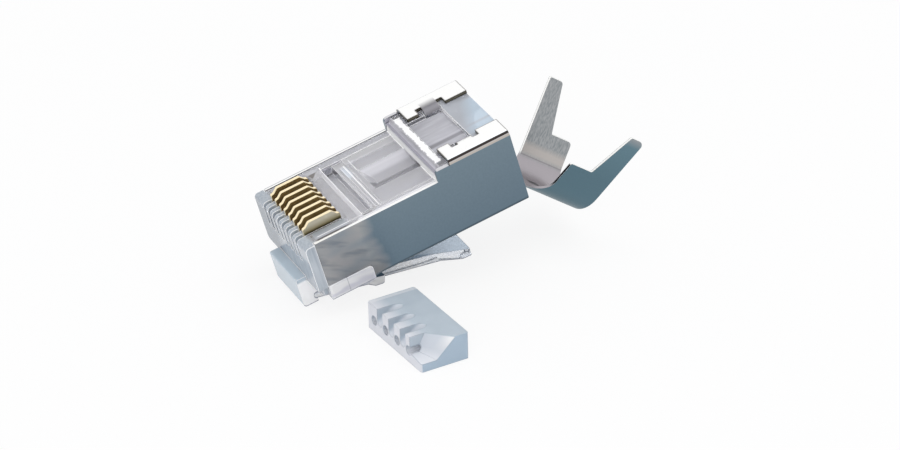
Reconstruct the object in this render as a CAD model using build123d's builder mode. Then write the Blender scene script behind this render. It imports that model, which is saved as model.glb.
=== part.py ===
from build123d import *
from math import atan2, cos, degrees, hypot, radians, sin, tan
import os

os.makedirs("parts", exist_ok=True)

# Driving dimensions in mm. The plug is drawn level: x across it, y from the comb at its
# nose to the cable entry, z up towards the contacts, and z = 0 under its shield
contact_count = 8
contact_pitch = 1.02

# Clear housing
nose_half = 5.84            # half width of the unshielded nose
nose_length = 1.0
nose_floor = 1.25           # underside of the nose, ahead of the skirt
nose_round = 0.4
deck_height = 6.2           # deck that the contacts stand in
body_length = 21.4
skirt_height = 1.5          # clear side of the body below the shield's short front walls
skirt_rear = 5.45
rise_front = 13.7           # foot of the step up to the cable part
rise_ledge = 0.75           # height of the ledge part way up that step
rise_shelf = 0.35           # depth of that ledge
rise_round = 0.3
roof_bar = 0.75             # solid bar between the step and the roof recess
recess_half = 3.05          # roof recess between the flaps
recess_depth = 0.4
recess_rear = 18.6

# Comb, slots and deck of the housing
slot_clearance = 0.03       # on each side of a blade
comb_mouth = 0.5            # width of the slots where they open at the front
comb_depth = 0.9            # from the front face back to the blades
comb_sill = 3.9             # lower end of the open slots
rail_width = 0.8            # side rails of the sunk deck
groove_front = 6.35         # groove across the deck
groove_rear = 7.45
groove_depth = 0.85
strap_rear = 8.5            # low strap behind the groove
strap_sink = 0.25
window_sink = 0.1           # window floor between the strap and the step
saddle_half = 1.95          # half width of the shallow round trough in the window floor
saddle_depth = 0.5
saddle_front = 8.95
saddle_run = 0.8            # length of the slope at its front end

# Cavity of the housing, from the contacts to the cable entry
cavity_half = 4.95
cavity_floor = 1.25
cavity_roof = 4.3
cavity_front = 1.5
cable_radius = 3.1
cable_axis = 3.7
cable_length = 7.3          # round bore that the cable's jacket enters

# Contact blades
blade_thickness = 0.34
blade_length = 3.75
blade_crown = 1.08          # crown of the raised blades above the deck
blade_knob = 0.6            # knobs at both ends of a blade, below its crown
knob_length = 0.3
blade_slope = 0.42          # length of the slopes between the knobs and the crown
blade_depth = 1.8           # from the deck down to the teeth
tooth_height = 0.6
tooth_count = 3

# Latch: a root block under the nose, and the lever that springs from it
root_half = 3.0
root_ahead = 1.05           # how far the root stands out ahead of the comb
root_rear = 0.62
root_drop = 1.35            # underside of the root below z = 0
root_ledge = 0.45           # how far its top ledge stands above the nose's underside
latch_round = 0.3           # rounding of the two edges that the plug rests on
hinge_y = 0.42
hinge_drop = 0.75
knuckle_radius = 0.28
knuckle_clearance = 0.04
lever_half = 1.62
shoulder_half = 3.0
shoulder_rear = 7.0
shoulder_drop = 2.2         # top of the lever at the shoulders
shoulder_height = 0.75      # height of the shoulders' rear faces
shoulder_length = 1.1
shoulder_lean = 0.25        # their lower edges stand this far ahead of the upper ones
shoulder_round = 0.25
web_drop = 2.28             # underside of the broad web where the shoulders begin
rib_drop = 3.2              # underside of the narrow lever at the shoulders
pad_front = 12.06           # where the thumb pad bends down from the arm
pad_drop = 3.46
pad_under = 4.57
heel_y = 14.88              # edge of the pad that rests on the floor
heel_drop = 5.52
lever_tip = 15.83
tip_drop = 5.57
tip_thickness = 0.71

# Shield: one stamped and folded sheet
sheet = 0.3
shield_half = 5.76
shield_gap = 0.1            # between the sheet's walls and the housing inside it
roof_gap = 0.05             # between the flaps and the housing's roof
seam_gap = 0.05             # between the edges of the sheet and the clear plastic
shield_bend = 0.5           # outer radius of the folds
wall_top = 6.25
rise_top = 7.45             # top of the walls beside the step
wall_round = 0.4
flap_ahead = 1.5            # from the step back to the front of the flaps
flap_top = 7.81
flap_edge = 3.15            # inner edge of each flap, from the middle
relief_slot = 0.12
tab_fold = 4.0              # where the locking tab in each flap starts to bend down
tab_front = 17.0
tab_rear = 18.55
tab_notch = 0.6             # length of the notch at each end of a tab
tab_radius = 1.15           # outer radius of its bend
tab_turn = 55               # angle of its bend
tab_clearance = 0.1

# Tail of the shield: a neck bent down, and two crimp wings that stand up beside the cable
tail_angle = 49.6
tail_inset = 0.15           # where its bend starts, ahead of the body's rear end
neck_half = 2.3
neck_relief = 0.25          # slots beside the neck, so that it bends by itself
tail_bend = 0.3             # inner radius of the bend
cradle_front = 1.1
cradle_flat = 0.9           # half width of the tail's flat floor
cradle_radius = 2.9
wing_flare = 15.3
wing_front = 3.2
wing_rear = 8.2
wing_blend = 1.8            # radius from the neck into the front edge of a wing
wing_foot = 0.35            # height of the neck's edge
wing_step = 4.4             # height at which the finger leaves the broad part of a wing
wing_tip = 9.1
finger_root = 2.5
finger_tip = 1.5
finger_round = 0.3
step_round = 0.35

# Load bar, taken out and lying beside the plug
bar_width = 9.6
bar_depth = 4.88
bar_height = 2.62
bar_aside = 2.9             # clear floor between the plug's side and the bar
bar_behind = 3.0            # how far its front corner lies behind the plug's rest line
bar_turn = 5.3
bar_round = 0.25
guide_radius = 0.45         # lower wire holes
guide_height = 1.2
guide_first = 1.23
guide_pitch = 2.04
trough_half = 0.47          # round upper wire troughs, which rise to the bar's top
trough_floor = 1.05         # their lowest point at the bar's front
trough_length = 2.45
scoop_inner = 7.55          # the last trough widens to the bar's end
scoop_floor = 0.8
scoop_inner_top = 1.55
scoop_inner_foot = 0.7
scoop_outer_top = 3.57
scoop_outer_foot = 1.6

# Sizes that follow
inner_half = shield_half - sheet
core_half = inner_half - shield_gap
core_floor = sheet + shield_gap
core_top = flap_top - sheet - roof_gap
bend_inside = shield_bend - sheet
shield_front = nose_length + seam_gap
blade_front = comb_depth + slot_clearance
blade_rear = blade_front + blade_length
blade_foot = deck_height - blade_depth
slot_width = blade_thickness + 2 * slot_clearance
tab_middle = (tab_front + tab_rear) / 2
tab_length = tab_rear - tab_front
tab_reach = tab_radius * sin(radians(tab_turn))
tab_fall = tab_radius - (tab_radius - sheet) * cos(radians(tab_turn))
flap_front = rise_front + flap_ahead
cable_front = body_length - cable_length
tail_start = body_length - tail_inset


def beyond(y):
    """Plane across the plug at y; a negative extrusion runs to the rear."""
    return Plane.XZ.offset(-y)


with BuildPart() as saddle:
    # Room of the shallow trough in the window floor, with a slope at its front end
    window_floor = deck_height - window_sink
    saddle_radius = (saddle_half**2 + saddle_depth**2) / (2 * saddle_depth)
    with BuildSketch(beyond(saddle_front)):
        with Locations((0, window_floor - saddle_depth + saddle_radius)):
            Circle(saddle_radius)
    extrude(amount=saddle_front - rise_front)
    with BuildSketch(Plane.YZ):
        Polygon(
            (saddle_front, window_floor),
            (saddle_front + 2 * saddle_run, window_floor - 2 * saddle_depth),
            (saddle_front, window_floor - 2 * saddle_depth),
            align=None,
        )
    extrude(amount=2 * saddle_half, both=True, mode=Mode.SUBTRACT)
    # Below the deck alone, so that the step keeps its shape
    with BuildSketch(Plane.XY.offset(deck_height)):
        Rectangle(4 * saddle_radius, 4 * body_length)
    extrude(amount=-deck_height, mode=Mode.INTERSECT)

with BuildPart() as housing:
    # Moulding inside the sheet, with the step up to the cable part
    with BuildSketch(Plane.YZ):
        with BuildLine():
            ledge = deck_height + rise_ledge
            Polyline(
                (nose_length / 2, core_floor),
                (body_length, core_floor),
                (body_length, core_top),
                (rise_front + 1.5 * rise_shelf, core_top),
                (rise_front + rise_shelf, ledge),
                (rise_front + rise_shelf / 3, ledge),
                (rise_front, deck_height),
                (nose_length / 2, deck_height),
                close=True,
            )
        make_face()
    extrude(amount=core_half, both=True)
    fillet(housing.edges().filter_by(Axis.Y).group_by(Axis.Z)[-1], rise_round)
    fillet(housing.edges().filter_by(Axis.Y).group_by(Axis.Z)[0], bend_inside)
    fillet(housing.edges().filter_by(Axis.X).group_by(Axis.Z)[-1].sort_by(Axis.Y)[0], rise_round / 2)
    # Clear skirt under the shield's short front walls, flush with the nose
    with BuildSketch(Plane.YZ) as skirt_side:
        with Locations((nose_length, 0)):
            Rectangle(skirt_rear - nose_length, skirt_height, align=(Align.MIN, Align.MIN))
        fillet(skirt_side.vertices().sort_by_distance((skirt_rear, skirt_height))[0], wall_round - seam_gap)
    extrude(amount=nose_half, both=True)
    # Nose, with its lower corners and the top edge of its front rounded
    with BuildSketch(Plane.XZ) as nose_section:
        with Locations((0, nose_floor)):
            Rectangle(2 * nose_half, deck_height - nose_floor, align=(Align.CENTER, Align.MIN))
        fillet(nose_section.vertices().group_by(Axis.Y)[0], nose_round)
    extrude(amount=-nose_length)
    fillet(housing.edges().filter_by(Axis.X).group_by(Axis.Y)[0].sort_by(Axis.Z)[-1], nose_round)
    # Root block of the latch, with the rounded edge that it rests on
    with BuildSketch(Plane.YZ) as root_side:
        with Locations((-root_ahead, -root_drop)):
            Rectangle(root_ahead + root_rear, root_drop + nose_floor + root_ledge, align=(Align.MIN, Align.MIN))
        fillet(root_side.vertices().group_by(Axis.Y)[0].sort_by(Axis.X)[0], latch_round)
        fillet(root_side.vertices().group_by(Axis.Y)[-1].sort_by(Axis.X)[0], latch_round / 2)
    extrude(amount=root_half, both=True)
    # Seat of the lever's knuckle, open to the rear and below
    seat_radius = knuckle_radius + knuckle_clearance
    with BuildSketch(Plane.YZ):
        with BuildLine():
            Polyline(
                (hinge_y, seat_radius - hinge_drop),
                (root_rear + seat_radius, seat_radius - hinge_drop),
                (root_rear + seat_radius, -root_drop - seat_radius),
                (hinge_y, -root_drop - seat_radius),
                close=True,
            )
        make_face()
        with Locations((hinge_y, -hinge_drop)):
            Circle(seat_radius)
    extrude(amount=root_half, both=True, mode=Mode.SUBTRACT)
    # Slots for the blades, and their wider mouths between the ribs of the comb
    with BuildSketch(Plane.XY.offset(deck_height)):
        with Locations((0, blade_front - slot_clearance)):
            with GridLocations(contact_pitch, 0, contact_count, 1):
                Rectangle(slot_width, blade_length + 2 * slot_clearance, align=(Align.CENTER, Align.MIN))
    extrude(amount=cavity_roof - deck_height, mode=Mode.SUBTRACT)
    with BuildSketch(Plane.XZ):
        with Locations((0, comb_sill)):
            with GridLocations(contact_pitch, 0, contact_count, 1):
                Rectangle(comb_mouth, deck_height - comb_sill, align=(Align.CENTER, Align.MIN))
    extrude(amount=-comb_depth, mode=Mode.SUBTRACT)
    # Sunk deck between the side rails: groove, low strap and window floor
    with BuildSketch(Plane.YZ):
        with BuildLine():
            draft = groove_depth / 6
            Polyline(
                (groove_front, deck_height),
                (groove_front + draft, deck_height - groove_depth),
                (groove_rear - draft, deck_height - groove_depth),
                (groove_rear, deck_height - strap_sink),
                (strap_rear - draft, deck_height - strap_sink),
                (strap_rear, deck_height - window_sink),
                (rise_front, deck_height - window_sink),
                (rise_front, deck_height),
                close=True,
            )
        make_face()
    extrude(amount=core_half - rail_width, both=True, mode=Mode.SUBTRACT)
    add(saddle, mode=Mode.SUBTRACT)
    # Flat cavity for the wires and the round cable bore behind it
    with BuildSketch(beyond(cavity_front)):
        with Locations((0, cavity_floor)):
            Rectangle(2 * cavity_half, cavity_roof - cavity_floor, align=(Align.CENTER, Align.MIN))
    extrude(amount=cavity_front - cable_front, mode=Mode.SUBTRACT)
    with BuildSketch(beyond(cable_front)):
        with Locations((0, cable_axis)):
            Circle(cable_radius)
    extrude(amount=-cable_length, mode=Mode.SUBTRACT)
    # Recess in the roof between the flaps, and a pocket for each locking tab
    recess_front = rise_front + 1.5 * rise_shelf + roof_bar
    with BuildSketch(Plane.XY.offset(core_top)):
        with Locations((0, recess_front)):
            Rectangle(2 * recess_half, recess_rear - recess_front, align=(Align.CENTER, Align.MIN))
    extrude(amount=-recess_depth, mode=Mode.SUBTRACT)
    pocket_inner = tab_fold - tab_reach - tab_clearance
    pocket_outer = tab_fold + sheet
    with BuildSketch(Plane.XY.offset(core_top)):
        with Locations((0, tab_middle)):
            with GridLocations(pocket_inner + pocket_outer, 0, 2, 1):
                Rectangle(pocket_outer - pocket_inner, tab_length + 2 * tab_clearance)
    extrude(amount=roof_gap - tab_fall - tab_clearance, mode=Mode.SUBTRACT)

with BuildPart() as latch_lever:
    # Narrow spring arm with its knuckle and the thumb pad whose heel rests on the floor
    arm_side = [
        (hinge_y, knuckle_radius - hinge_drop),
        (shoulder_rear, -shoulder_drop),
        (pad_front, -pad_drop),
        (lever_tip, tip_thickness - tip_drop),
        (lever_tip, -tip_drop),
        (heel_y, -heel_drop),
        (pad_front + tip_thickness, -pad_under),
        (shoulder_rear, -rib_drop),
        (shoulder_rear - 1.6 * shoulder_length, -web_drop),
        (hinge_y, -knuckle_radius - hinge_drop),
    ]
    with BuildSketch(Plane.YZ) as arm_outline:
        with BuildLine():
            Polyline(*arm_side, close=True)
        make_face()
        fillet(arm_outline.vertices().sort_by_distance((heel_y, -heel_drop))[0], latch_round)
        with Locations((hinge_y, -hinge_drop)):
            Circle(knuckle_radius)
    extrude(amount=lever_half, both=True)
    # Broad web near the root, ending in the two shoulders that catch in a jack
    catch_foot = (shoulder_rear - shoulder_lean, -shoulder_drop - shoulder_height)
    catch_heel = (shoulder_rear - shoulder_length, -shoulder_drop - 0.8 * shoulder_height)
    with BuildSketch(Plane.YZ) as web_side:
        with BuildLine():
            Polyline(
                (hinge_y, knuckle_radius - hinge_drop),
                (shoulder_rear, -shoulder_drop),
                catch_foot,
                catch_heel,
                (shoulder_rear - 1.6 * shoulder_length, -web_drop),
                (hinge_y, -knuckle_radius - hinge_drop),
                close=True,
            )
        make_face()
        fillet(web_side.vertices().sort_by_distance(catch_foot)[0], shoulder_round)
        fillet(web_side.vertices().sort_by_distance(catch_heel)[0], shoulder_round)
        with Locations((hinge_y, -hinge_drop)):
            Circle(knuckle_radius)
    extrude(amount=shoulder_half, both=True)
    fillet(latch_lever.edges().filter_by(Axis.Z).group_by(Axis.Y)[-1], tip_thickness / 4)

with BuildPart() as shield:
    # Folded section along the whole body: floor, walls and the two flaps
    with BuildSketch(beyond(shield_front)):
        with Locations((0, flap_top / 2)):
            RectangleRounded(2 * shield_half, flap_top, shield_bend)
            RectangleRounded(2 * inner_half, flap_top - 2 * sheet, bend_inside, mode=Mode.SUBTRACT)
        with Locations((0, flap_top)):
            Rectangle(2 * flap_edge, 4 * sheet, mode=Mode.SUBTRACT)
    extrude(amount=shield_front - body_length)
    # Outline of the folded sheet, seen from the side
    wall_foot = skirt_height + seam_gap
    fold_start = flap_top - shield_bend
    with BuildSketch(Plane.YZ) as side_outline:
        with BuildLine():
            Polyline(
                (shield_front, wall_foot),
                (skirt_rear + seam_gap, wall_foot),
                (skirt_rear + seam_gap, 0),
                (body_length, 0),
                (body_length, flap_top),
                (flap_front, flap_top),
                (flap_front, fold_start),
                (flap_front - relief_slot, fold_start),
                (flap_front - relief_slot, rise_top),
                (rise_front, rise_top),
                (rise_front, wall_top),
                (shield_front, wall_top),
                close=True,
            )
        make_face()
        fillet(side_outline.vertices().sort_by_distance((shield_front, wall_foot))[0], wall_round)
        fillet(side_outline.vertices().sort_by_distance((rise_front, rise_top))[0], wall_round)
        fillet(side_outline.vertices().sort_by_distance((skirt_rear + seam_gap, wall_foot))[0], wall_round)
    extrude(amount=shield_half, both=True, mode=Mode.INTERSECT)
    # Notches that free a locking tab in each flap
    with BuildSketch(Plane.XY.offset(flap_top)):
        with Locations((0, tab_middle)):
            with GridLocations(tab_fold + flap_edge, 0, 2, 1):
                Rectangle(tab_fold - flap_edge, tab_length + 2 * tab_notch)
    extrude(amount=-sheet, mode=Mode.SUBTRACT)
    # Tabs bent down into the roof
    with BuildSketch(beyond(tab_front)):
        for side in (-1, 1):
            rim, half, hook = [], [], []
            for found, angle in ((rim, 0), (half, tab_turn / 2), (hook, tab_turn)):
                for radius in (tab_radius, tab_radius - sheet):
                    across = tab_fold - radius * sin(radians(angle))
                    found.append((side * across, flap_top - tab_radius + radius * cos(radians(angle))))
            with BuildLine():
                ThreePointArc(rim[0], half[0], hook[0])
                Line(hook[0], hook[1])
                ThreePointArc(hook[1], half[1], rim[1])
                Polyline(
                    rim[1],
                    (side * (tab_fold + sheet), flap_top - sheet),
                    (side * (tab_fold + sheet), flap_top),
                    rim[0],
                )
            make_face()
    extrude(amount=-tab_length)
    # Slots beside the neck
    with BuildSketch(Plane.XY):
        with Locations((0, body_length)):
            Rectangle(2 * (neck_half + neck_relief), 4 * sheet + 2 * neck_relief)
    extrude(amount=sheet, mode=Mode.SUBTRACT)

# The tail's own frame: tail_way runs down along its floor, and the planes' y goes up from it
lean = radians(tail_angle)
flare = radians(wing_flare)
tail_root = (0, tail_start, 0)
tail_way = (0, cos(lean), -sin(lean))
tail_across = Plane(origin=tail_root, x_dir=(1, 0, 0), z_dir=(0, -cos(lean), sin(lean)))
tail_side = Plane(origin=tail_root, x_dir=tail_way, z_dir=(1, 0, 0))

turn = radians(90) - flare
arc_end = (cradle_flat + cradle_radius * sin(turn), cradle_radius * (1 - cos(turn)))
wing_end = (arc_end[0] + (wing_tip - arc_end[1]) * tan(flare), wing_tip)


def crimp_wing(side, corners, radii):
    """Half of the tail on one side: floor, arc and flared wing, cut to its outline seen from the side."""
    with BuildPart() as wing:
        with BuildSketch(tail_across.offset(-cradle_front)):
            with BuildLine():
                Line((0, 0), (side * cradle_flat, 0))
                RadiusArc((side * cradle_flat, 0), (side * arc_end[0], arc_end[1]), -side * cradle_radius)
                Line((side * arc_end[0], arc_end[1]), (side * wing_end[0], wing_end[1]))
                offset(amount=sheet, side=Side.LEFT if side > 0 else Side.RIGHT)
            make_face()
        extrude(amount=cradle_front - wing_rear)
        with BuildSketch(tail_side):
            with BuildLine():
                FilletPolyline((wing_rear, 0), *corners, (wing_front, wing_foot + wing_blend), radius=radii)
                RadiusArc(
                    (wing_front, wing_foot + wing_blend),
                    (wing_front - wing_blend, wing_foot),
                    wing_blend,
                )
                Polyline(
                    (wing_front - wing_blend, wing_foot),
                    (cradle_front, wing_foot),
                    (cradle_front, 0),
                    (wing_rear, 0),
                )
            make_face()
        extrude(amount=side * (wing_end[0] + sheet), mode=Mode.INTERSECT)
    return wing.part


# The far wing has its finger at the front and the near one at the rear, so that the two
# pass each other when they are crimped round the cable
far_wing = crimp_wing(
    -1,
    [
        (wing_rear, wing_step),
        (wing_front + finger_root, wing_step),
        (wing_front + finger_tip, wing_tip),
        (wing_front, wing_tip),
    ],
    [step_round, sheet / 2, finger_round, finger_round / 2],
)
near_wing = crimp_wing(
    1,
    [
        (wing_rear, wing_tip),
        (wing_rear - finger_tip, wing_tip),
        (wing_rear - finger_root, wing_step),
        (wing_front, wing_step),
    ],
    [2 * finger_round, finger_round / 2, sheet / 2, sheet / 2],
)

with BuildPart() as shield_tail:
    # Neck: a flat strip bent down behind the body, which runs into the tail's floor
    neck_end = cradle_front + sheet
    bend_top = sheet * tan(lean / 2)
    with BuildSketch(Plane.YZ) as neck_side:
        with BuildLine():
            Polyline(
                (tail_start - neck_half, 0),
                (tail_start, 0),
                (tail_start + neck_end * cos(lean), -neck_end * sin(lean)),
                (tail_start + neck_end * cos(lean) + sheet * sin(lean), sheet * cos(lean) - neck_end * sin(lean)),
                (tail_start + bend_top, sheet),
                (tail_start - neck_half, sheet),
                close=True,
            )
        make_face()
        fillet(neck_side.vertices().sort_by_distance((tail_start, 0))[0], tail_bend)
        fillet(neck_side.vertices().sort_by_distance((tail_start + bend_top, sheet))[0], tail_bend + sheet)
    extrude(amount=neck_half, both=True)
    add(far_wing)
    add(near_wing)

with BuildPart() as load_bar:
    # Bar in its own axes: x along it, y rearward, z up from the floor
    with BuildSketch():
        Rectangle(bar_width, bar_depth, align=(Align.MIN, Align.MIN))
    extrude(amount=bar_height)
    fillet(load_bar.edges().filter_by(Axis.Z), bar_round)
    fillet(load_bar.faces().sort_by(Axis.Z)[-1].edges(), bar_round / 4)
    # Lower wire holes, right through
    with BuildSketch(Plane.XZ):
        with Locations((guide_first + 1.5 * guide_pitch, guide_height)):
            with GridLocations(guide_pitch, 0, 4, 1):
                Circle(guide_radius)
    extrude(amount=-bar_depth, mode=Mode.SUBTRACT)
    # Upper wire troughs between them, open on top, that rise to nothing behind
    slope = atan2(bar_height - trough_floor, trough_length)
    for i in range(3):
        foot = (guide_first + (i + 0.5) * guide_pitch, 0, trough_floor)
        with BuildSketch(Plane(origin=foot, x_dir=(1, 0, 0), z_dir=(0, -cos(slope), -sin(slope)))):
            with Locations((0, trough_half)):
                Circle(trough_half)
                Rectangle(2 * trough_half, 2 * bar_height, align=(Align.CENTER, Align.MIN))
        extrude(amount=-2 * trough_length, mode=Mode.SUBTRACT)
    # The last trough widens into a scoop that runs out of the bar's end
    with BuildSketch(Plane.YZ.offset(scoop_inner)):
        with BuildLine():
            Polyline(
                (0, trough_floor),
                (scoop_inner_foot, trough_floor),
                (scoop_inner_top, bar_height),
                (0, bar_height),
                close=True,
            )
        make_face()
    with BuildSketch(Plane.YZ.offset(bar_width)):
        with BuildLine():
            Polyline(
                (0, scoop_floor),
                (scoop_outer_foot, scoop_floor),
                (scoop_outer_top, bar_height),
                (0, bar_height),
                close=True,
            )
        make_face()
    loft(mode=Mode.SUBTRACT)

with BuildPart() as folded_shield:
    add(shield)
    add(shield_tail)


def rounding_centre(before, corner, after, radius):
    """Centre of the arc that rounds a corner of an outline, on the outline's upper side."""
    way = [(corner[0] - before[0], corner[1] - before[1]), (after[0] - corner[0], after[1] - corner[1])]
    up = [(-dz / hypot(dy, dz), dy / hypot(dy, dz)) for dy, dz in way]
    share = radius / (1 + up[0][0] * up[1][0] + up[0][1] * up[1][1])
    return (corner[0] + share * (up[0][0] + up[1][0]), corner[1] + share * (up[0][1] + up[1][1]))


# The plug rests on its latch: the root's front edge and the heel of the lever's pad
toe = rounding_centre((-root_ahead, 0), (-root_ahead, -root_drop), (0, -root_drop), latch_round)
heel = rounding_centre(arm_side[6], arm_side[5], arm_side[4], latch_round)
pitch = atan2(toe[1] - heel[1], heel[0] - toe[0])
lift = latch_round - toe[0] * sin(pitch) - toe[1] * cos(pitch)
rest = Location((0, 0, lift), (degrees(pitch), 0, 0))

pieces = {
    "housing": housing.part.moved(rest),
    "latch_lever": latch_lever.part.moved(rest),
    "shield": folded_shield.part.moved(rest),
    "load_bar": load_bar.part.moved(Location((nose_half + bar_aside, bar_behind, 0), (0, 0, bar_turn))),
}
for i in range(contact_count):
    # Stamped blade: raised crown, a rounded knob below it at each end, and piercing teeth
    x = (i - (contact_count - 1) / 2) * contact_pitch
    crown = deck_height + blade_crown
    knob = deck_height + blade_knob
    bay = blade_length / tooth_count
    teeth = []
    for k in range(tooth_count):
        rear = blade_rear - k * bay
        teeth += [(rear - bay / 2, blade_foot), (rear - bay, blade_foot + tooth_height)]
    with BuildPart() as contact:
        with BuildSketch(Plane.YZ.offset(x)) as blade_side:
            with BuildLine():
                Polyline(
                    (blade_front, blade_foot + tooth_height),
                    (blade_front, knob),
                    (blade_front + knob_length, knob + knob_length / 4),
                    (blade_front + knob_length + blade_slope, crown),
                    (blade_rear - knob_length - blade_slope, crown),
                    (blade_rear - knob_length, knob + knob_length / 8),
                    (blade_rear, knob - knob_length / 4),
                    (blade_rear, blade_foot + tooth_height),
                    *teeth[:-1],
                    close=True,
                )
            make_face()
            fillet(blade_side.vertices().group_by(Axis.Y)[-1], blade_slope / 2)
            for y in (blade_front + knob_length, blade_rear - knob_length):
                fillet(blade_side.vertices().sort_by_distance((y, knob))[0], knob_length / 2)
            fillet(blade_side.vertices().sort_by_distance((blade_front, knob))[0], knob_length / 2)
            fillet(blade_side.vertices().sort_by_distance((blade_rear, knob))[0], knob_length / 2)
        extrude(amount=blade_thickness / 2, both=True)
    pieces[f"contact_{i + 1}"] = contact.part.moved(rest)

# Shared origin: the middle of the box round all the pieces, on the floor
box = Compound(children=[piece.moved(Location()) for piece in pieces.values()]).bounding_box()
to_origin = Location((-(box.min.X + box.max.X) / 2, -(box.min.Y + box.max.Y) / 2, -box.min.Z))
for name, piece in pieces.items():
    standing = piece.moved(to_origin)
    standing.label = name
    export_step(standing, f"parts/{name}.step")
print(f"size {box.size.X:.3f} {box.size.Y:.3f} {box.size.Z:.3f}, pitch {degrees(pitch):.3f} deg")
print(f"plug frame at {to_origin.position.X:.4f} {to_origin.position.Y:.4f} {to_origin.position.Z + lift:.4f}")
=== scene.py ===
import math

import bpy
from mathutils import Matrix, Vector

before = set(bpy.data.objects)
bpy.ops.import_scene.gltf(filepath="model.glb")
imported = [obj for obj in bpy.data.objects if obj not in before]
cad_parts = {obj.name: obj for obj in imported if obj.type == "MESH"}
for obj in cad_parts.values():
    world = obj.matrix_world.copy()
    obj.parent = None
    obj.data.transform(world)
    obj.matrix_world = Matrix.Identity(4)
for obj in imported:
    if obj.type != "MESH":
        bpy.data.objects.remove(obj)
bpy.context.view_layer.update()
scene = bpy.context.scene

# Clear housing: one injection-moulded block of polycarbonate, polished in the tool, water-clear
# with a faint lilac cast and a little milky where it is thick. Places on it are in mm in the
# level plug's own axes: x towards its near side, y back from the nose, z up from its floor.
plug_pitch = math.radians(14.884)
plug_origin = Vector((-6.2185, -15.3608, 1.5074)) / 1000
millimetre = 0.001
nose_length = 1.0
skirt_height = 1.5
deck_height = 6.2
groove_front, groove_rear, groove_depth = 6.35, 7.45, 0.85
rise_front = 13.7
roof_height = 7.45
recess_rear, recess_depth = 18.6, 0.4
outline_width = 0.22 * millimetre
plastic_index = 1.45


def srgb(red, green, blue):
    """A colour picked in 0 to 255 steps, as the shader wants it."""
    parts = [c / 255 for c in (red, green, blue)]
    return tuple(c / 12.92 if c <= 0.04045 else ((c + 0.055) / 1.055) ** 2.4 for c in parts) + (1.0,)


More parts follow.
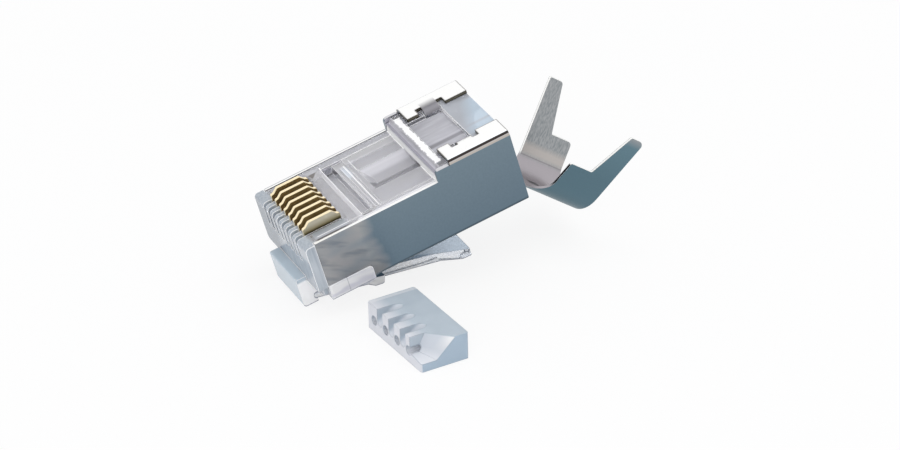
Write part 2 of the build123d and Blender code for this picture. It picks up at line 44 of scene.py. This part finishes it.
class Finish:
    """A node material, with short calls for the nodes that the finishes here share.

    A share is a value from 0 to 1 that says how much of something shows at a place."""

    def __init__(self, name):
        self.material = bpy.data.materials.new(name)
        self.material.use_nodes = True
        self.tree = self.material.node_tree
        self.shader = self.tree.nodes["Principled BSDF"]

    def node(self, kind, **settings):
        made = self.tree.nodes.new(kind)
        for key, value in settings.items():
            setattr(made, key, value)
        return made

    def link(self, out, into):
        self.tree.links.new(out, into)

    def feed(self, name, value):
        """Let the nodes set one of the shader's sockets."""
        self.link(value, self.shader.inputs[name])

    def place(self, origin, turn):
        """Position in mm in axes that have their own origin and turn."""
        coords = self.node("ShaderNodeTexCoord")
        level = self.node("ShaderNodeMapping", vector_type="TEXTURE")
        level.inputs["Location"].default_value = origin
        level.inputs["Rotation"].default_value = turn
        level.inputs["Scale"].default_value = (millimetre,) * 3
        self.link(coords.outputs["Object"], level.inputs["Vector"])
        return level.outputs["Vector"]

    def plug_place(self):
        """Position in the level plug's own axes."""
        return self.place(plug_origin, (plug_pitch, 0, 0))

    def plug_normal(self):
        """Direction that the surface faces, in the level plug's own axes."""
        face = self.node("ShaderNodeNewGeometry")
        level = self.node("ShaderNodeMapping", vector_type="VECTOR")
        level.inputs["Rotation"].default_value = (-plug_pitch, 0, 0)
        self.link(face.outputs["Normal"], level.inputs["Vector"])
        return level.outputs["Vector"]

    def axes(self, vector):
        """The three parts of a vector."""
        split = self.node("ShaderNodeSeparateXYZ")
        self.link(vector, split.inputs["Vector"])
        return split.outputs["X"], split.outputs["Y"], split.outputs["Z"]

    def vector(self, *parts):
        """A vector made of its three parts."""
        whole = self.node("ShaderNodeCombineXYZ")
        for socket, value in zip(whole.inputs, parts):
            self.link(value, socket)
        return whole.outputs["Vector"]

    def join(self, a, b, operation="ADD"):
        """Two values or numbers joined by one step of arithmetic."""
        step = self.node("ShaderNodeMath", operation=operation)
        for socket, value in zip(step.inputs, (a, b)):
            if isinstance(value, (int, float)):
                socket.default_value = value
            else:
                self.link(value, socket)
        return step.outputs[0]

    def size(self, value):
        """The value without its sign."""
        return self.join(value, 0, "ABSOLUTE")

    def slanted(self, first, first_share, second, second_share):
        """Sum of two values, each times a number: the distance along a slanting line."""
        return self.join(
            self.join(first, first_share, "MULTIPLY"), self.join(second, second_share, "MULTIPLY")
        )

    def ramp(self, value, low, high, start=0.0, end=1.0):
        """value between low and high, carried over to start and end."""
        span = self.node("ShaderNodeMapRange")
        for name, number in zip(("From Min", "From Max", "To Min", "To Max"), (low, high, start, end)):
            span.inputs[name].default_value = number
        self.link(value, span.inputs["Value"])
        return span.outputs["Result"]

    def blend(self, share, first, second):
        """From the first colour to the second."""
        mix = self.node("ShaderNodeMix", data_type="RGBA")
        for socket, value in zip((mix.inputs[0], mix.inputs[6], mix.inputs[7]), (share, first, second)):
            if isinstance(value, (int, float, tuple)):
                socket.default_value = value
            else:
                self.link(value, socket)
        return mix.outputs[2]

    def both(self, *shares):
        """Share that all the given ones have in common: their product."""
        common = shares[0]
        for share in shares[1:]:
            common = self.join(common, share, "MULTIPLY")
        return common

    def most(self, *shares):
        """Share of whichever of the given ones is largest."""
        largest = shares[0]
        for share in shares[1:]:
            largest = self.join(largest, share, "MAXIMUM")
        return largest

    def less(self, share, rest=0.0):
        """1 away from the given share, and only rest where it is full."""
        return self.ramp(share, 0, 1, 1, rest)

    def band(self, value, low, high, soft=0.05):
        """1 where value lies between low and high, fading to 0 outside over soft."""
        return self.both(
            self.ramp(value, low - soft, low + soft),
            self.ramp(value, high + soft, high - soft),
        )

    def at(self, value, place, reach=0.1, soft=0.05):
        """1 within reach of a place, fading to 0 beyond that over soft."""
        return self.band(value, place - reach, place + reach, soft)

    def rounded(self, radius):
        """The surface's normal, and its normal if its edges had this radius."""
        rounding = self.node("ShaderNodeBevel", samples=8)
        rounding.inputs["Radius"].default_value = radius
        face = self.node("ShaderNodeNewGeometry")
        return face.outputs["Normal"], rounding.outputs["Normal"]

    def edge_line(self, radius):
        """Share that is 1 along sharp edges, over so many metres on both sides."""
        match = self.node("ShaderNodeVectorMath", operation="DOT_PRODUCT")
        for socket, normal in zip(match.inputs, self.rounded(radius)):
            self.link(normal, socket)
        return self.ramp(match.outputs["Value"], 0.995, 0.85)

    def under_line(self, radius):
        """Share that is 1 along the lower edges, where a face turns under."""
        turn = self.node("ShaderNodeVectorMath", operation="SUBTRACT")
        for socket, normal in zip(turn.inputs, self.rounded(radius)):
            self.link(normal, socket)
        return self.ramp(self.axes(turn.outputs[0])[2], 0.12, 0.32)

    def noise(self, vector, scale, detail=2.0, stretch=None):
        """Mottling at so many cells to a unit, drawn out along an axis by stretch."""
        cells = self.node("ShaderNodeTexNoise")
        cells.inputs["Scale"].default_value = scale
        cells.inputs["Detail"].default_value = detail
        if stretch:
            pull = self.node("ShaderNodeVectorMath", operation="MULTIPLY")
            pull.inputs[1].default_value = stretch
            self.link(vector, pull.inputs[0])
            vector = pull.outputs[0]
        self.link(vector, cells.inputs["Vector"])
        return cells.outputs["Fac"]

    def wear(self, *nodes):
        """Dress carried-over CAD nodes in this finish."""
        for name in nodes:
            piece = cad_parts[name]
            piece.data.materials.clear()
            piece.data.materials.append(self.material)


clear = Finish("clear_polycarbonate")
clear.shader.inputs["IOR"].default_value = plastic_index
spot = clear.plug_place()
x, y, z = clear.axes(spot)
facing_near = clear.axes(clear.plug_normal())[0]
aside = clear.size(x)
bright = srgb(254, 254, 255)
flow = clear.noise(spot, 0.8, stretch=(1, 0.25, 1))
# Painted highlights along the sharp edges
edge = clear.edge_line(0.14 * millimetre)
tone = clear.blend(flow, srgb(238, 238, 246), bright)
# Nose: bluish and fluted from top to bottom, with painted shade on its far part and painted
# highlights on its ribs
nose = clear.ramp(y, nose_length + 0.4, nose_length - 0.1)
flutes = clear.ramp(clear.noise(spot, 5.0, stretch=(1, 1, 0.04)), 0.38, 0.62)
nose_tone = clear.blend(flutes, srgb(186, 196, 207), srgb(206, 214, 223))
far_part = clear.both(clear.ramp(x, -0.6, -2.6), clear.ramp(z, 6.0, 5.4), 0.85)
nose_tone = clear.blend(far_part, nose_tone, srgb(122, 136, 151))
tone = clear.blend(nose, tone, nose_tone)
rib_line = clear.both(nose, clear.ramp(z, 1.5, 1.7), clear.edge_line(0.2 * millimetre), 0.8)
# The cavity for the wires has a duller surface
cavity = clear.both(clear.band(x, -4.98, 4.98), clear.band(z, 1.2, 5.2), clear.band(y, 1.4, 21.3))
tone = clear.blend(cavity, tone, srgb(246, 246, 251))
# Round trough in the window's floor: light on its far flank and shade on the near one, and no
# line where it runs out under the step
trough_width = clear.band(x, -2, 2)
trough = clear.both(clear.band(z, 5.45, 6.07, 0.02), clear.band(y, 8.85, 13.75), trough_width)
flanks = clear.blend(clear.band(x, -1.8, -0.75, 0.2), srgb(208, 208, 214), srgb(238, 237, 244))
flanks = clear.blend(clear.band(x, 0.65, 1.85, 0.08), flanks, srgb(146, 146, 152))
tone = clear.blend(trough, tone, flanks)
trough_end = clear.both(trough_width, clear.ramp(z, 6.07, 6.03))
trough_end = clear.both(trough_end, clear.ramp(y, rise_front - 0.2, rise_front - 0.1))
edge = clear.both(edge, clear.less(trough_end))
# Deck: painted highlights across it, along the edges of the groove, the strap and the window, and a
# painted blue gleam on the strap; the lip in front of the groove and the deck behind it are hazy
deck = clear.band(z, deck_height - 0.3, deck_height + 0.1)
lines = 0.0
for place, half_width, far_end, near_end, share in (
    (groove_front, 0.06, -4.9, 4.7, 1.0),
    (7.62, 0.05, -3.6, 4.5, 0.3),
    (7.92, 0.05, -3.6, 4.5, 0.35),
    (8.26, 0.05, -3.8, 4.7, 1.0),
    (8.95, 0.05, -4.1, -1.95, 0.6),
):
    across = clear.at(y, place, half_width, 0.03)
    lines = clear.most(lines, clear.both(deck, across, clear.band(x, far_end, near_end), share))
gleam = clear.both(deck, clear.band(y, 7.85, 8.4), clear.band(x, -3.5, -1.5, 0.3))
tone = clear.blend(clear.both(gleam, 0.8), tone, srgb(230, 242, 255))
lip = clear.both(deck, clear.band(y, 5.9, groove_front), clear.band(x, -4.9, 4.9), 0.6)
far_strip = clear.ramp(clear.band(x, -4.5, -3.5, 0.1), 0, 1, 0.24, 0.6)
haze = clear.both(deck, clear.ramp(y, 4.8, 5.2), far_strip)
groove = clear.both(clear.at(z, deck_height - groove_depth), clear.band(x, -4.6, 4.6))
groove = clear.both(groove, clear.band(y, groove_front - 0.05, groove_rear + 0.05), 0.22)
# Far front corner of the deck, a small dark triangle between two slanting lines
rail_top = clear.at(z, deck_height)
corner = clear.both(
    rail_top,
    clear.ramp(x, -5.1, -5.0),
    clear.ramp(clear.slanted(y, 1, x, -0.26), 6.14, 6.22),
    clear.ramp(clear.slanted(y, 1, x, 0.833), 2.12, 2.04),
)
tone = clear.blend(corner, tone, srgb(128, 124, 122))
# Roof: a solid painted highlight on the bar, the streaky recess behind it with a dark streak of
# its own, and the rear end, where the blue light of the room is painted in
roof = clear.ramp(z, roof_height - 0.25, roof_height - 0.05)
wavy = clear.join(y, clear.ramp(clear.noise(spot, 1.6), 0.3, 0.7, -0.12, 0.12))
bar = clear.both(roof, clear.band(wavy, 14.32, 14.92), clear.band(x, -4.6, 4.6))
streaks = clear.ramp(clear.noise(spot, 2.4, stretch=(1, 0.15, 1)), 0.35, 0.65)
recess = clear.both(clear.at(z, roof_height - recess_depth), clear.band(y, 14.9, recess_rear + 0.05))
tone = clear.blend(recess, tone, clear.blend(streaks, srgb(206, 206, 214), srgb(224, 224, 232)))
dark_streak = clear.both(recess, clear.band(x, 1.2, 1.75, 0.12))
tone = clear.blend(dark_streak, tone, srgb(156, 155, 162))
rear_roof = clear.both(roof, clear.ramp(y, recess_rear, recess_rear + 0.1))
tone = clear.blend(rear_roof, tone, srgb(174, 178, 186))
rear_slant = clear.ramp(clear.slanted(y, 1, x, 0.33), 19.2, 20.6)
rear_end = clear.both(rear_roof, rear_slant, clear.band(x, -2.4, 3.1, 0.3))
rear_end = clear.both(rear_end, clear.less(clear.band(x, 1.45, 1.8, 0.12), 0.35))
tone = clear.blend(rear_end, tone, srgb(186, 202, 217))
# Latch root: bluish, with a painted highlight on its near side
root = clear.ramp(y, 0.0, -0.1)
tone = clear.blend(root, tone, srgb(202, 217, 229))
root_side = clear.both(clear.ramp(facing_near, 0.6, 0.9), clear.ramp(z, 1.4, 1.2))
root_side = clear.both(root_side, clear.ramp(aside, 3.3, 3.1))
# Skirt below the shield's front walls, with painted patches of sheen
skirt = clear.both(clear.ramp(aside, 5.5, 5.6), clear.ramp(z, skirt_height + 0.1, skirt_height))
skirt = clear.both(skirt, clear.ramp(y, nose_length - 0.1, nose_length + 0.1))
sheen = clear.ramp(clear.noise(spot, 0.9, detail=1.0, stretch=(1, 0.4, 1.6)), 0.4, 0.6)
tone = clear.blend(skirt, tone, clear.blend(sheen, srgb(226, 226, 236), bright))
# Rails: milky along the deck's rear part, and grey beside the contacts, with a painted highlight
# line inside and a dark line of painted shade outside, next to the shield, on the near rail
past_nose = clear.ramp(y, 1.3, 1.6)
rail = clear.both(rail_top, clear.ramp(x, 5.0, 5.1), clear.ramp(y, 5.4, 5.8))
far_rail = clear.both(rail_top, clear.ramp(x, -4.5, -4.6), past_nose)
far_rail_tone = clear.blend(clear.ramp(x, -5.2, -5.32), srgb(188, 189, 195), srgb(140, 143, 149))
tone = clear.blend(far_rail, tone, far_rail_tone)
rail_line = clear.both(rail_top, clear.at(x, 4.8, 0.05, 0.04), clear.ramp(y, 1.6, 1.8))
rail_line = clear.both(rail_line, clear.ramp(y, 5.8, 7.0, 0.8, 0.35))
beside = clear.both(rail_top, clear.band(x, 4.0, 5.12), past_nose, clear.ramp(y, 5.2, 4.6))
beside_tone = clear.blend(clear.ramp(x, 4.1, 4.9), srgb(160, 168, 176), srgb(190, 195, 206))
tone = clear.blend(beside, tone, beside_tone)
shade = clear.both(rail_top, clear.band(x, 5.12, 5.42), past_nose, clear.ramp(y, 5.9, 4.4))
tone = clear.blend(shade, tone, srgb(106, 104, 108))
edge = clear.both(edge, clear.less(shade))
# Step up to the cable part: a white front face, a dark ledge and a grey upper face
step = clear.band(y, rise_front - 0.1, rise_front + 0.65)
step = clear.both(step, clear.ramp(z, deck_height - 0.18, deck_height - 0.12))
ledge = clear.ramp(y, rise_front + 0.06, rise_front + 0.11)
upper_face = clear.blend(clear.ramp(z, 7.08, 7.3), srgb(204, 202, 212), srgb(176, 175, 182))
step_tone = clear.blend(ledge, srgb(255, 255, 255), srgb(162, 161, 174))
behind_ledge = clear.ramp(y, rise_front + 0.29, rise_front + 0.33)
step_tone = clear.blend(behind_ledge, step_tone, upper_face)
tone = clear.blend(step, tone, step_tone)
edge = clear.both(edge, clear.less(clear.both(step, ledge)))
# All the painted highlights go white
glints = clear.most(bar, edge, rail_line, lines, root_side, rib_line)
tone = clear.blend(glints, tone, bright)
# Line of the mould's parting on the skirt, and a thin painted dark outline along the lower edges,
# where the clear plastic bends the light away
mould_line = clear.both(skirt, clear.at(y, 2.85, 0.02, 0.03))
tone = clear.blend(mould_line, tone, srgb(160, 162, 170))
low_part = clear.most(clear.ramp(z, skirt_height + 0.1, skirt_height - 0.1), root)
outline = clear.both(clear.under_line(outline_width), low_part)
tone = clear.blend(outline, tone, srgb(146, 150, 162))
clear.feed("Base Color", tone)
# How much light passes through, which is less in each of these places
milky = clear.most(rail, skirt, step, lip, haze, far_rail, beside, groove)
clarity = clear.ramp(cavity, 0, 1, 0.9, 0.3)
for share, rest in (
    (glints, 0.1),
    (milky, 0.35),
    (clear.most(root, trough, gleam), 0.6),
    (nose, 0.4),
    (step, 0.5),
    (recess, 0.5),
    (rear_roof, 0.2),
    (clear.most(corner, shade, outline), 0.3),
):
    clarity = clear.both(clarity, clear.less(share, rest))
clear.feed("Transmission Weight", clarity)
clear.feed("Roughness", clear.ramp(cavity, 0, 1, 0.04, 0.35))
clear.wear("housing")

# Latch: a flat spring lever of the same clear polycarbonate under the plug, with a thumb pad,
# moulded in one with the root. Its top is bluish, with painted shadow of the body on its front
# part, and its thin sides are the clearest.
latch = Finish("clear_latch")
latch.shader.inputs["IOR"].default_value = plastic_index
spot = latch.plug_place()
y = latch.axes(spot)[1]
facing_up = latch.axes(latch.plug_normal())[2]
flow = latch.noise(spot, 0.7, stretch=(1, 0.4, 1))
# Top: painted darker in the body's shadow at the front, lighter towards the back
top = latch.blend(latch.ramp(y, 8.0, 15.5), srgb(114, 138, 162), srgb(222, 238, 255))
side = latch.blend(latch.ramp(flow, 0.4, 0.6), srgb(238, 242, 251), srgb(255, 255, 255))
tone = latch.blend(latch.ramp(facing_up, 0.4, 0.8), side, top)
# Painted highlights along the edges, and a painted dark outline along the lower ones
edge = latch.edge_line(0.12 * millimetre)
tone = latch.blend(edge, tone, srgb(252, 252, 255))
outline = latch.under_line(outline_width)
tone = latch.blend(outline, tone, srgb(150, 154, 166))
latch.feed("Base Color", tone)
clarity = latch.most(latch.ramp(y, 8.5, 13.0, 0.3, 0.65), latch.ramp(facing_up, 0.8, 0.4, 0, 0.95))
clarity = latch.both(clarity, latch.ramp(y, 7.2, 7.6, 0.2, 1), latch.less(outline, 0.2))
latch.feed("Transmission Weight", clarity)
latch.feed("Roughness", latch.ramp(flow, 0.3, 0.7, 0.0, 0.05))
latch.wear("latch_lever")

# Contacts: stamped from phosphor bronze strip and gold plated; the cut edges on top are painted
# bright pale gold where they catch the light, and the flat sides darker brass, with painted shade
# low down between the blades.
gold = Finish("gold_plate")
gold.shader.inputs["Metallic"].default_value = 0.8
spot = gold.plug_place()
x, _, z = gold.axes(spot)
flat_side = gold.size(gold.axes(gold.plug_normal())[0])
grain = gold.noise(spot, 6.0, detail=3.0, stretch=(1, 0.3, 1))
sides = gold.blend(grain, srgb(172, 146, 90), srgb(204, 180, 126))
sides = gold.blend(gold.ramp(z, 7.0, 6.3), sides, srgb(122, 90, 42))
# The near side of the last blade is painted as lit, with painted shade at its foot
end_side = gold.blend(gold.ramp(z, 6.4, 7.0), srgb(178, 164, 122), srgb(218, 211, 190))
end_side = gold.blend(gold.ramp(z, 6.5, 6.28), end_side, srgb(88, 80, 56))
sides = gold.blend(gold.ramp(x, 3.66, 3.7), sides, end_side)
gold.feed("Base Color", gold.blend(flat_side, srgb(254, 238, 200), sides))
gold.feed("Roughness", gold.ramp(grain, 0.3, 0.7, 0.28, 0.42))
gold.wear(*[f"contact_{i}" for i in range(1, 9)])

# Shield: one piece of nickel-plated brass sheet, stamped flat and folded round the body,
# with two crimp wings on its tail. Its outer sides are painted a dull grey, as they mirror a
# darker room; the folds and the roof flaps are painted pale where they catch the light, and the
# inside is painted brighter, as lit.
wall_top = 6.25
tab_front, tab_rear = 17.0, 18.55
plate = Finish("nickel_plated_sheet")
plate.shader.inputs["Metallic"].default_value = 1.0
spot = plate.plug_place()
x, y, z = plate.axes(spot)
aside = plate.size(x)
facing_near, facing_back, facing_up = plate.axes(plate.plug_normal())
facing_out = plate.join(facing_near, plate.join(x, 0, "SIGN"), "MULTIPLY")
mottle = plate.noise(spot, 5.0, detail=4.0)
cloud = plate.noise(spot, 0.5, stretch=(1, 0.45, 1))
# Side walls: painted blue-grey, as they mirror a darker room, darker towards the floor, and
# with a warm painted reflection near the front, where bluish streaks cross them
wall = plate.blend(plate.ramp(z, 0.5, 7.5), srgb(106, 124, 137), srgb(120, 137, 148))
wall = plate.blend(plate.ramp(mottle, 0.3, 0.7, 0, 0.12), wall, srgb(80, 98, 112))
warm_reflection = plate.blend(plate.ramp(cloud, 0.42, 0.6), srgb(178, 176, 175), srgb(160, 165, 170))
bluish_streak_cos, bluish_streak_sin = 0.87, 0.49
bluish_streak_place = plate.vector(
    x, plate.slanted(y, bluish_streak_cos, z, -bluish_streak_sin), plate.slanted(y, bluish_streak_sin, z, bluish_streak_cos)
)
bluish_streak = plate.noise(bluish_streak_place, 1.0, stretch=(1, 0.3, 1.4))
warm_reflection = plate.blend(plate.ramp(bluish_streak, 0.54, 0.7, 0, 0.45), warm_reflection, srgb(112, 124, 134))
warm_end = plate.join(plate.slanted(y, 1, z, 0.1), plate.ramp(cloud, 0.3, 0.7, -0.4, 0.4))
wall = plate.blend(plate.ramp(warm_end, 7.1, 5.7), wall, warm_reflection)
# Upper bends: pale in front, and below a flap a dark line over a pale strip, as polished folds
# mirror the room
outside = plate.ramp(aside, 5.3, 5.4)
beside_flap = plate.both(outside, plate.ramp(y, 15.1, 15.2))
pale_bend = plate.both(outside, plate.band(z, 7.36, 7.6, 0.02))
wall = plate.blend(pale_bend, wall, srgb(212, 212, 216))
pale_strip = plate.both(beside_flap, plate.band(z, 7.36, 7.58, 0.02))
wall = plate.blend(pale_strip, wall, srgb(190, 183, 176))
dark_line = plate.both(beside_flap, plate.band(z, 7.6, 7.76, 0.02))
wall = plate.blend(dark_line, wall, srgb(52, 46, 44))
# Faces turned down are painted darker, in shade
wall = plate.blend(plate.ramp(facing_up, -0.05, -0.4), wall, srgb(58, 78, 90))
off_bend = plate.less(plate.both(outside, plate.band(z, 7.34, 7.77, 0.01)))
# Inside of the walls and top of the floor, painted brighter, as lit
floor_top = plate.both(plate.ramp(facing_up, 0.6, 0.8), plate.ramp(z, 1.0, 0.8))
inside = plate.most(plate.ramp(facing_out, -0.3, -0.5), floor_top)
inside = plate.both(inside, plate.ramp(y, 21.6, 21.4))
body_tone = plate.blend(inside, wall, srgb(240, 240, 244))
# Flaps: painted nearly white on top, as they mirror the light overhead, with a dark rim, and
# painted greyer, in shade, on the tabs that are bent down from them; the far tab and the rim of
# the far wall are seen from inside: the tab is painted dark grey, in shade, and the rim light grey
rim = plate.edge_line(0.25 * millimetre)
bent_tab = plate.both(plate.ramp(z, 7.79, 7.5), plate.ramp(z, 7.0, 7.1))
flap = plate.blend(bent_tab, srgb(251, 251, 250), srgb(140, 138, 146))
flap = plate.blend(plate.both(rim, plate.ramp(z, 7.5, 7.6)), flap, srgb(120, 116, 114))
flat_top = plate.both(plate.ramp(facing_up, 0.55, 0.85), plate.ramp(z, 3.0, 4.0), off_bend)
body_tone = plate.blend(flat_top, body_tone, flap)
far_tab = plate.both(plate.band(y, tab_front, tab_rear), plate.ramp(z, 6.9, 7.0))
far_tab = plate.both(far_tab, plate.ramp(x, -4.7, -3.7), plate.ramp(x, -2.9, -3.0))
body_tone = plate.blend(far_tab, body_tone, srgb(118, 117, 122))
wall_rim = plate.both(plate.at(z, wall_top, 0.05), plate.ramp(x, -5.62, -5.7))
body_tone = plate.blend(wall_rim, body_tone, srgb(176, 180, 184))
# Cut edges of the flaps, olive grey between dark lines
flap_cut = plate.both(plate.ramp(z, 7.46, 7.5), plate.ramp(facing_up, 0.55, 0.35))
flap_cut = plate.both(flap_cut, plate.ramp(aside, 5.0, 4.9))
flap_cut_tone = plate.blend(rim, srgb(126, 122, 106), srgb(66, 62, 56))
body_tone = plate.blend(flap_cut, body_tone, flap_cut_tone)
# Tail: run goes down its slope from the body, and rise square to that, up the wings. It is
# painted teal grey outside, as it mirrors a darker room, brushed and paler inside, with a crease
# under the wings and a painted dark reflection in its neck, shaped like a slot
tail_cos, tail_sin = 0.648, 0.7615
tail_start = 21.25
past_start = plate.join(y, tail_start, "SUBTRACT")
rise = plate.slanted(z, tail_cos, past_start, tail_sin)
run = plate.slanted(past_start, tail_cos, z, -tail_sin)
outer = plate.blend(plate.ramp(rise, 0.2, 1.6), srgb(78, 106, 118), srgb(92, 118, 130))
outer = plate.blend(plate.ramp(rise, 4.0, 8.0), outer, srgb(102, 130, 142))
outer = plate.blend(plate.ramp(rise, 8.2, 9.0), outer, srgb(150, 156, 160))
brushed = plate.noise(plate.vector(x, run, rise), 8.0, detail=4.0, stretch=(1, 1, 0.12))
inner = plate.blend(plate.ramp(brushed, 0.35, 0.65), srgb(138, 143, 146), srgb(170, 172, 174))
inner = plate.blend(plate.band(rise, 1.9, 2.9, 0.3), inner, srgb(186, 181, 178))
inner = plate.blend(plate.ramp(rise, 1.9, 1.5), inner, srgb(172, 167, 172))
crease = plate.band(rise, 1.75, 1.82, 0.05)
inner = plate.blend(crease, inner, srgb(134, 130, 134))
# Painted dark reflection in the floor of the neck, shaped like a slot
neck_dark_reflection = plate.both(plate.band(x, -0.65, 0.15, 0.1), plate.band(run, 3.3, 4.6, 0.2))
neck_dark_reflection = plate.both(neck_dark_reflection, plate.ramp(rise, 0.5, 0.4), 0.85)
inner = plate.blend(neck_dark_reflection, inner, srgb(44, 52, 56))
facing_rise = plate.slanted(facing_back, tail_sin, facing_up, tail_cos)
outer_face = plate.ramp(plate.join(facing_out, facing_rise, "SUBTRACT"), -0.3, 0.3)
tail_tone = plate.blend(outer_face, inner, outer)
# Cut edges of the tail: painted bright where they catch the light, with dark borders, and the
# other way round low on the near wing, where they are painted dark in shade
wing_cut = plate.both(plate.ramp(plate.size(facing_near), 0.45, 0.3), plate.ramp(rise, 1.6, 2.0))
border = plate.edge_line(0.12 * millimetre)
bright_cut = plate.blend(border, srgb(252, 252, 250), srgb(70, 76, 82))
dark_cut = plate.blend(border, srgb(34, 38, 42), srgb(240, 242, 242))
near_and_low = plate.both(plate.ramp(rise, 4.3, 4.2), plate.ramp(x, 1.0, 2.0))
tail_tone = plate.blend(wing_cut, tail_tone, plate.blend(near_and_low, bright_cut, dark_cut))
plate.feed("Base Color", plate.blend(plate.ramp(y, 21.5, 21.9), body_tone, tail_tone))
plate.feed("Roughness", plate.ramp(mottle, 0.3, 0.7, 0.33, 0.40))
plate.wear("shield")

# Load bar: a small frosted moulding that the eight wires are threaded through before it is
# pushed into the housing; here it lies beside the plug. Places on it are in mm in its own
# axes: along its front from the far end, back from its front, and up.
bar_origin = (0.0025215, -0.0123608, 0)
bar_turn = (0, 0, math.radians(5.3))
near_end = 9.5
frosted = Finish("frosted_polycarbonate")
frosted.shader.inputs["Transmission Weight"].default_value = 0.25
frosted.shader.inputs["IOR"].default_value = 1.4
spot = frosted.place(bar_origin, bar_turn)
along, back, height = frosted.axes(spot)
face = frosted.node("ShaderNodeNewGeometry")
facing_near, _, facing_up = frosted.axes(face.outputs["Normal"])
frost = frosted.noise(spot, 0.6, detail=3.0)
tone = frosted.blend(frost, srgb(188, 201, 212), srgb(208, 219, 229))
# The front, with the wire holes, is a warmer white, and the near end bluer
front = frosted.ramp(back, 1.6, 0.2)
tone = frosted.blend(frosted.both(front, 0.8), tone, srgb(246, 246, 252))
tone = frosted.blend(frosted.ramp(along, near_end, near_end + 0.08), tone, srgb(178, 197, 214))
# Holes, troughs and the scooped end: painted in light and shade by the way each face turns,
# lighter low down, with a painted white highlight in the scoop
hollow = frosted.both(frosted.ramp(height, 2.6, 2.5), frosted.ramp(back, 0.02, 0.06))
hollow = frosted.both(hollow, frosted.ramp(along, near_end + 0.08, near_end))
tone = frosted.blend(hollow, tone, srgb(206, 213, 223))
for side, side_tone in (
    (frosted.ramp(facing_near, 0.5, 0.8), srgb(192, 204, 215)),
    (frosted.ramp(facing_up, 0.2, 0.5), srgb(212, 218, 227)),
    (frosted.ramp(height, 1.5, 0.7), srgb(242, 244, 250)),
):
    tone = frosted.blend(frosted.both(hollow, side), tone, side_tone)
scoop = frosted.both(hollow, frosted.ramp(along, near_end - 0.9, near_end), frosted.ramp(height, 1.3, 2.5))
tone = frosted.blend(scoop, tone, srgb(255, 255, 255))
# Painted light band above the far end wall, where that wall shows through the top, and a painted
# dark outline along the edges, where the plastic bends the light away
far_band = frosted.both(frosted.band(along, 0.12, 0.5, 0.04), frosted.ramp(facing_up, 0.8, 0.9), 0.6)
tone = frosted.blend(far_band, tone, srgb(244, 246, 250))
edge = frosted.both(frosted.edge_line(0.2 * millimetre), 0.6)
tone = frosted.blend(edge, tone, srgb(150, 164, 177))
frosted.feed("Base Color", tone)
frosted.feed("Roughness", frosted.ramp(frost, 0.3, 0.7, 0.3, 0.45))
frosted.wear("load_bar")

# Studio: a plain white table and surround, a broad soft light overhead and a weaker one
# from the front left. The white shows to the eye, in the metal and through the plastic.
table_reach = 2.0
table_gap = 0.02 * millimetre
table_colour = (0.85, 0.85, 0.86, 1)
table_glow = 0.85
room_white = 1.0
room_light = 0.8
table_mesh = bpy.data.meshes.new("table_top")
table_mesh.from_pydata(
    [(table_reach * i, table_reach * j, 0) for i, j in ((-1, -1), (1, -1), (1, 1), (-1, 1))],
    [],
    [(0, 1, 2, 3)],
)
table = bpy.data.objects.new("table_top", table_mesh)
table.location.z = -table_gap
scene.collection.objects.link(table)
white_top = Finish("white_table")
white_top.shader.inputs["Base Color"].default_value = table_colour
white_top.shader.inputs["Roughness"].default_value = 0.9
white_top.shader.inputs["Specular IOR Level"].default_value = 0.1
seen_by = ("Is Camera Ray", "Is Glossy Ray", "Is Transmission Ray")
ray = white_top.node("ShaderNodeLightPath")
sees = white_top.most(*[ray.outputs[kind] for kind in seen_by])
glow = white_top.node("ShaderNodeEmission")
paper = white_top.node("ShaderNodeMixShader")
white_top.link(white_top.join(sees, table_glow, "MULTIPLY"), paper.inputs[0])
white_top.link(white_top.shader.outputs[0], paper.inputs[1])
white_top.link(glow.outputs[0], paper.inputs[2])
white_top.link(paper.outputs[0], white_top.tree.nodes["Material Output"].inputs["Surface"])
table_mesh.materials.append(white_top.material)

world = bpy.data.worlds.new("studio")
scene.world = world
world.use_nodes = True
air = world.node_tree
ray = air.nodes.new("ShaderNodeLightPath")
sees = ray.outputs[seen_by[0]]
for kind in seen_by[1:]:
    either = air.nodes.new("ShaderNodeMath")
    either.operation = "MAXIMUM"
    air.links.new(sees, either.inputs[0])
    air.links.new(ray.outputs[kind], either.inputs[1])
    sees = either.outputs[0]
level = air.nodes.new("ShaderNodeMapRange")
level.inputs["To Min"].default_value = room_light
level.inputs["To Max"].default_value = room_white
air.links.new(sees, level.inputs["Value"])
air.links.new(level.outputs["Result"], air.nodes["Background"].inputs["Strength"])
air.nodes["Background"].inputs["Color"].default_value = (1, 1, 1, 1)


def soft_light(name, place, size, watts):
    """A square area light that faces the plug."""
    lamp = bpy.data.lights.new(name, "AREA")
    lamp.size = size
    lamp.energy = watts
    light = bpy.data.objects.new(name, lamp)
    light.location = place
    light.rotation_euler = (-Vector(place)).to_track_quat("-Z", "Y").to_euler()
    scene.collection.objects.link(light)


soft_light("overhead_softbox", place=(0.05, 0.1, 0.5), size=0.5, watts=0.8)
soft_light("front_fill", place=(0.35, -0.3, 0.2), size=0.3, watts=0.55)

# Camera: a long lens that looks down on the plug's side from the right, as the photograph does.
# Its directions and its stand are given in the level plug's axes.
camera_data = bpy.data.cameras.new("product_camera")
camera_data.sensor_width = 36.0
camera_data.lens = 178.648
camera_data.clip_start = 0.01
camera_data.clip_end = 20.0
camera = bpy.data.objects.new("product_camera", camera_data)
tilt = Matrix.Rotation(plug_pitch, 3, "X")
right = tilt @ Vector((0.4249, 0.8694, -0.2521))
upward = tilt @ Vector((-0.4348, 0.4403, 0.7856))
toward = tilt @ Vector((0.794, -0.2242, 0.5651))
stand = tilt @ (Vector((325.45, -76.76, 229.02)) / 1000) + plug_origin
turn = Matrix((right, upward, toward)).transposed().to_4x4()
camera.matrix_world = Matrix.Translation(stand) @ turn
scene.collection.objects.link(camera)
scene.camera = camera

scene.view_settings.view_transform = "Standard"
